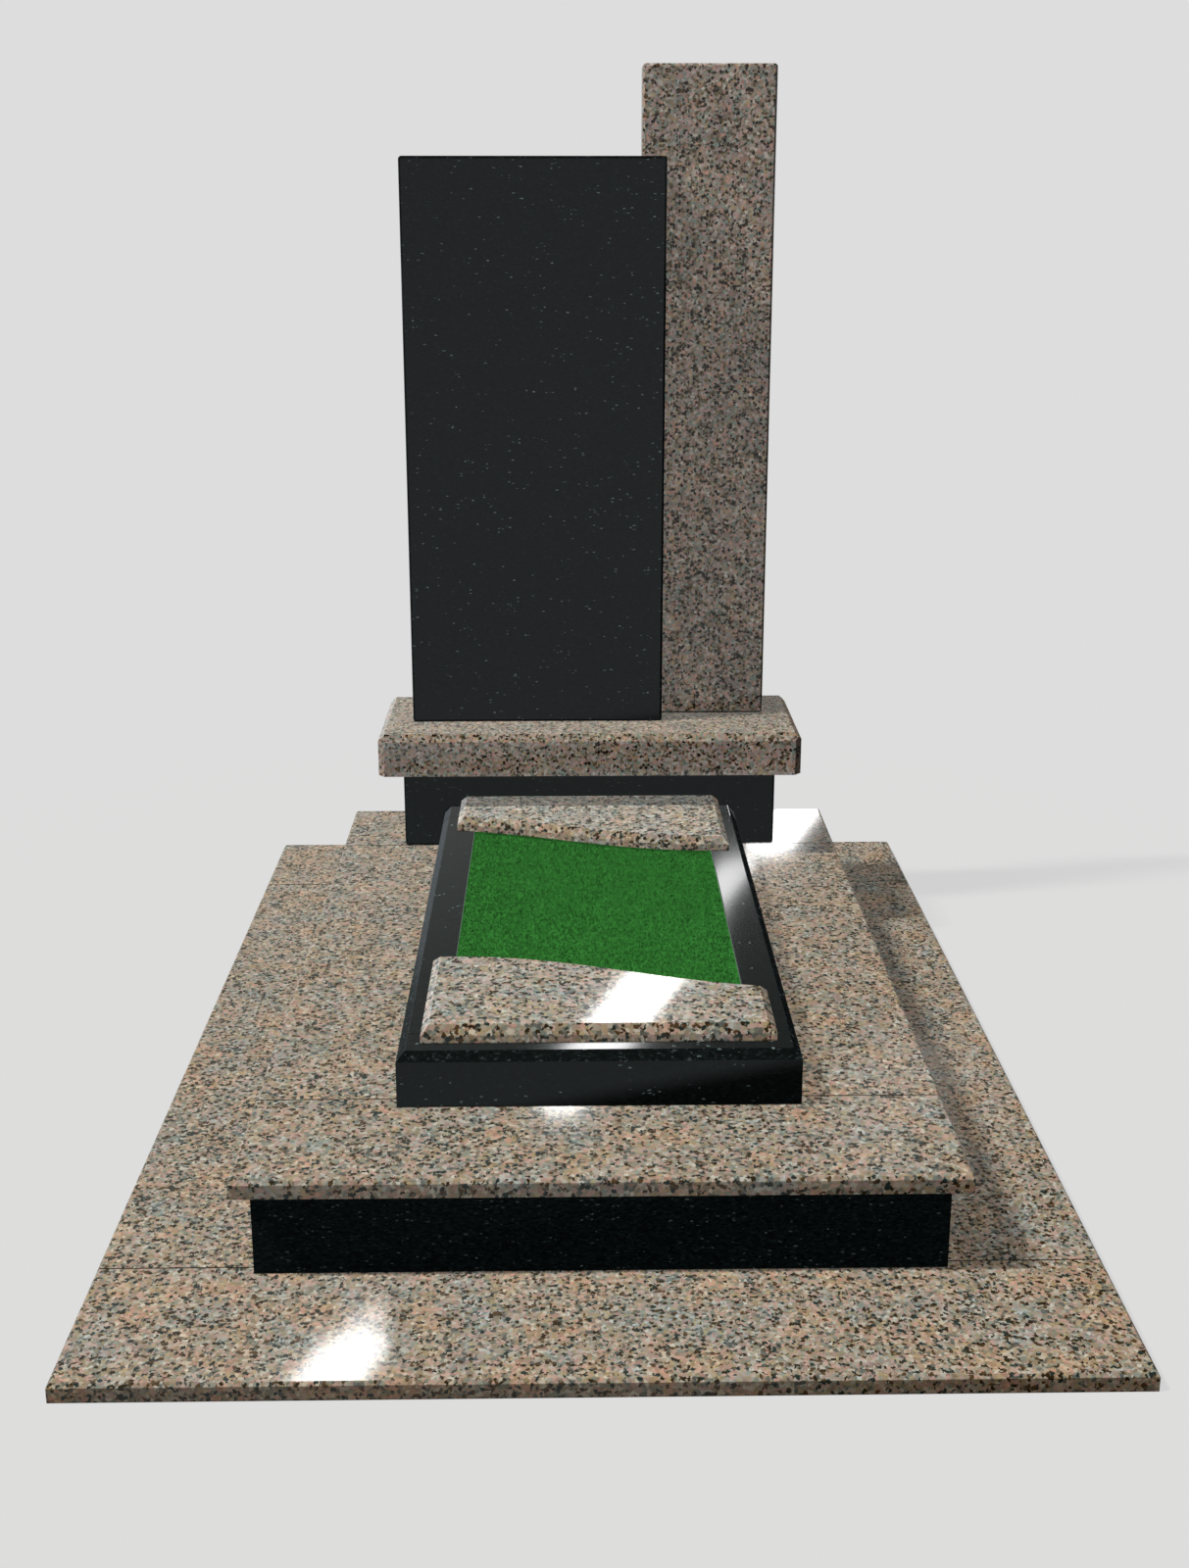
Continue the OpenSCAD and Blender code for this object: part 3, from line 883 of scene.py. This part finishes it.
def platePlanGroup():
    # place of a point in the plate's plan, for its share of the width, near or far edge, and inset
    labels = ("Across", "Far Edge", "Inset", "Width", "Long", "Short", "Wave Start", "Wave Span", "Height")
    tree, given, out = newGroup(
        "platePlan", [(label, "Float", None) for label in labels],
        [("Position", "Vector")], "Geometry", (-12, 9))
    inset, width, span = ((given, label) for label in ("Inset", "Width", "Wave Span"))
    doubled = mathNode(tree, "MULTIPLY", inset, 2.0, (-11, 2))
    inner = mathNode(tree, "SUBTRACT", width, doubled, (-10, 2))
    x = mathNode(tree, "MULTIPLY_ADD", (given, "Across"), inner, (-9, 2), inset)
    share = mathNode(tree, "DIVIDE", x, width, (-8, 2))
    past = mathNode(tree, "SUBTRACT", share, (given, "Wave Start"), (-7, 1))
    past = mathNode(tree, "MAXIMUM", past, 0.0, (-6, 1))

    def fallen(progress, column, row):
        # how far the wave has come down, and its angle
        angle = mathNode(tree, "DIVIDE", progress, span, (column, row))
        angle = mathNode(tree, "MULTIPLY", angle, math.pi, (column + 1, row))
        level = mathNode(tree, "COSINE", angle, None, (column + 2, row))
        return mathNode(tree, "SUBTRACT", 1.0, level, (column + 3, row)), angle

    here, angle = fallen(past, -5, 1)
    # the same at the short side, so that the wave ends at the short length there
    rest = mathNode(tree, "SUBTRACT", 1.0, (given, "Wave Start"), (-7, -1))
    end = fallen(rest, -6, -1)[0]
    drop = mathNode(tree, "SUBTRACT", (given, "Long"), (given, "Short"), (-3, -2))
    scale = mathNode(tree, "DIVIDE", drop, end, (-2, -1))
    lost = mathNode(tree, "MULTIPLY", here, scale, (-1, 1))
    length = mathNode(tree, "SUBTRACT", (given, "Long"), lost, (0, 1))
    # slope of the wave, which sets how far an inset moves the edge back
    rise = mathNode(tree, "SINE", angle, None, (-3, 3))
    rise = mathNode(tree, "MULTIPLY", rise, scale, (-1, 3))
    run = mathNode(tree, "MULTIPLY", span, width, (-3, 4))
    slope = mathNode(tree, "DIVIDE", rise, run, (0, 3))
    slope = mathNode(tree, "MULTIPLY", slope, math.pi, (1, 3))
    square = mathNode(tree, "MULTIPLY_ADD", slope, slope, (2, 3), 1.0)
    root = mathNode(tree, "SQRT", square, None, (3, 3))
    back = mathNode(tree, "MULTIPLY", root, inset, (4, 2))
    far = mathNode(tree, "SUBTRACT", length, back, (5, 1))
    reach = mathNode(tree, "SUBTRACT", far, inset, (6, 1))
    y = mathNode(tree, "MULTIPLY_ADD", reach, (given, "Far Edge"), (7, 1), inset)
    feed(tree, out, {"Position": combine(tree, (8, 0), x, y, (given, "Height"))})
    return tree


def plateTree():
    tree, given, out = newGrower("wavePlate", [
        ("Width", "Float", 0.6), ("Long", "Float", 0.3), ("Short", "Float", 0.2),
        ("Thickness", "Float", 0.03), ("Bevel", "Float", 0.015), ("Wave Start", "Float", 0.1),
        ("Wave Span", "Float", 1.0), ("Steps", "Int", 30), ("Merge Within", "Float", 0.00001),
        ("Corner", "Vector", None), ("Turn", "Float", 0.0), ("Material", "Material", None)])
    strip = addNode(tree, "GeometryNodeMeshGrid", (-7, 1), {
        "Size X": 1.0, "Size Y": 1.0, "Vertices X": (given, "Steps"), "Vertices Y": 2})
    where = addNode(tree, "GeometryNodeInputPosition", (-8, -2))
    shifted = vectorNode(tree, "ADD", (where, 0), (0.5, 0.5, 0.0), (-7, -2))  # shares from 0 to 1
    keep = addNode(
        tree, "GeometryNodeStoreNamedAttribute", (-6, 1),
        {"Geometry": (strip, "Mesh"), "Name": "share", "Value": shifted},
        data_type="FLOAT_VECTOR", domain="POINT")
    share = addNode(
        tree, "GeometryNodeInputNamedAttribute", (-6, -3), {"Name": "share"}, data_type="FLOAT_VECTOR")
    across, along = split(tree, (share, 0), (-5, -3), "XY")
    plan = platePlanGroup()

    def planAt(spot, inset=None, height=None):
        shared = ("Width", "Long", "Short", "Wave Start", "Wave Span")
        inputs = {label: (given, label) for label in shared}
        inputs.update({"Across": across, "Far Edge": along, "Inset": inset, "Height": height})
        return addNode(tree, "GeometryNodeGroup", spot, inputs, node_tree=plan), 0

    flat = addNode(tree, "GeometryNodeSetPosition", (-3, 1), {
        "Geometry": (keep, "Geometry"), "Position": planAt((-4, -1))})
    side = mathNode(tree, "SUBTRACT", (given, "Thickness"), (given, "Bevel"), (-4, -4))
    walls = addNode(tree, "GeometryNodeExtrudeMesh", (-1, 1), {
        "Mesh": (flat, "Geometry"), "Offset": combine(tree, (-3, -4), z=side),
        "Individual": False}, mode="FACES")
    # any small lift does, because the plan then sets the place of the top
    slopes = addNode(tree, "GeometryNodeExtrudeMesh", (1, 1), {
        "Mesh": (walls, "Mesh"), "Selection": (walls, "Top"), "Offset": combine(tree, (-1, -4), z=0.001),
        "Individual": False}, mode="FACES")
    top = addNode(tree, "GeometryNodeSetPosition", (3, 1), {
        "Geometry": (slopes, "Mesh"), "Selection": (slopes, "Top"),
        "Position": planAt((1, -2), (given, "Bevel"), (given, "Thickness"))})
    under = addNode(tree, "GeometryNodeFlipFaces", (3, -1), {"Mesh": (flat, "Geometry")})
    both = addNode(tree, "GeometryNodeJoinGeometry", (5, 0), {"Geometry": (top, "Geometry")})
    feed(tree, both, {"Geometry": (under, "Mesh")})
    closed = addNode(tree, "GeometryNodeMergeByDistance", (6, 0), {
        "Geometry": (both, "Geometry"), "Distance": (given, "Merge Within")})
    placed = addNode(tree, "GeometryNodeTransform", (8, 0), {
        "Geometry": (closed, "Geometry"), "Translation": (given, "Corner"),
        "Rotation": combine(tree, (6, -2), z=(given, "Turn"))})
    finishGrowth(tree, (placed, "Geometry"), given, out)
    return tree


def growPlates(setup):
    tree = plateTree()
    for name, node, turned in (
            ("wavePlateFront", "bed_plate_front", False), ("wavePlateBack", "bed_plate_back", True)):
        low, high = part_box(node)
        plate = growMesh(name, tree, {
            "Width": high.x - low.x, "Long": setup["long"], "Short": setup["short"],
            "Thickness": high.z - low.z, "Bevel": setup["bevel"], "Wave Start": setup["waveStart"],
            "Wave Span": setup["waveSpan"], "Steps": setup["steps"], "Merge Within": setup["mergeWithin"],
            "Corner": (high.x, high.y, low.z) if turned else (low.x, low.y, low.z),
            "Turn": math.pi if turned else 0.0, "Material": ownFinishes[node]})
        mirrorRoomOnly(plate)
        letLightPast(plate)
        easeArrises(plate, welded=True)
        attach(plate, "root")
        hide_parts(node)
    print("bed plates grown")


# turf blades on the mat, between the two bed plates

bladeSetup = {
    "density": 88000.0,  # blades to the square metre
    "height": 0.0038,
    "radius": 0.0011,
    "smallest": 0.75,    # shares of that size
    "largest": 1.05,
    "lean": 24.0,        # degrees
    "edge": 0.002,       # bare strip along the kerbs
    "tuck": 0.035,       # how far the blades run in under the plates
    "seed": 11,
}


def bladeTree():
    tree, given, out = newGrower("turfBlades", [
        ("Length", "Float", 1.0), ("Width", "Float", 0.5), ("Middle", "Vector", None),
        ("Density", "Float", 1000.0), ("Height", "Float", 0.005), ("Radius", "Float", 0.001),
        ("Smallest", "Float", 0.8), ("Largest", "Float", 1.0), ("Lean", "Float", 0.4),
        ("Seed", "Int", 1), ("Material", "Material", None)])
    seed, lean = (given, "Seed"), (given, "Lean")
    mat = addNode(tree, "GeometryNodeMeshGrid", (-6, 1), {
        "Size X": (given, "Width"), "Size Y": (given, "Length"), "Vertices X": 2, "Vertices Y": 2})
    placed = addNode(tree, "GeometryNodeTransform", (-5, 1), {
        "Geometry": (mat, "Mesh"), "Translation": (given, "Middle")})
    roots = addNode(tree, "GeometryNodeDistributePointsOnFaces", (-3, 1), {
        "Mesh": (placed, "Geometry"), "Density": (given, "Density"), "Seed": seed},
        distribute_method="RANDOM")
    blade = addNode(tree, "GeometryNodeMeshCone", (-3, -1), {
        "Vertices": 3, "Radius Top": 0.0, "Radius Bottom": (given, "Radius"), "Depth": (given, "Height")})
    back = mathNode(tree, "MULTIPLY", lean, -1.0, (-5, -3))
    least = combine(tree, (-4, -3), back, back)
    most = combine(tree, (-4, -4), lean, lean, 2 * math.pi)
    turn = addNode(tree, "FunctionNodeRandomValue", (-2, -3), {
        0: least, 1: most, "Seed": seed}, data_type="FLOAT_VECTOR")
    size = addNode(tree, "FunctionNodeRandomValue", (-2, -5), {
        2: (given, "Smallest"), 3: (given, "Largest"), "Seed": seed}, data_type="FLOAT")
    blades = addNode(tree, "GeometryNodeInstanceOnPoints", (1, 0), {
        "Points": (roots, "Points"), "Instance": (blade, "Mesh"),
        "Rotation": (turn, 0), "Scale": (size, 1)})
    finishGrowth(tree, (blades, "Instances"), given, out)
    return tree


def growTurf(setup, plates):
    low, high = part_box("turf")
    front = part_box("bed_plate_front")[1].y - (plates["long"] - plates["short"]) - setup["tuck"]
    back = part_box("bed_plate_back")[0].y + (plates["long"] - plates["short"]) + setup["tuck"]
    blades = growMesh("turfBlades", bladeTree(), {
        "Length": back - front, "Width": high.x - low.x - 2 * setup["edge"],
        "Middle": ((low.x + high.x) / 2, (front + back) / 2, high.z),
        "Density": setup["density"], "Height": setup["height"], "Radius": setup["radius"],
        "Smallest": setup["smallest"], "Largest": setup["largest"],
        "Lean": math.radians(setup["lean"]), "Seed": setup["seed"], "Material": finishes["turf"]})
    blades.visible_glossy = False
    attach(blades, "root")
    print("turf grown:", len(blades.data.polygons), "faces")


# the mason eases every arris a little

easeSetup = {
    "weld": 0.00005,
    "width": 0.0008,
    "segments": 2,
    "angle": 22.0,  # degrees
}


def easeArrises(stone, welded=False):
    if not welded:
        weld = stone.modifiers.new("weldCorners", "WELD")
        weld.merge_threshold = easeSetup["weld"]
    ease = stone.modifiers.new("easeArrises", "BEVEL")
    ease.width = easeSetup["width"]
    ease.segments = easeSetup["segments"]
    ease.limit_method = "ANGLE"
    ease.angle_limit = math.radians(easeSetup["angle"])


growTurf(bladeSetup, waveSetup)
growPlates(waveSetup)
# left as they are: the soft mat, the hidden fills and the two plates that the grown ones stand for
uneased = ("turf", "bed_fill", "concrete_core", "bed_plate_front", "bed_plate_back")
for name, stone in stones.items():
    if name not in uneased:
        easeArrises(stone)
print("arrises eased")

scene.view_settings.view_transform = "Standard"
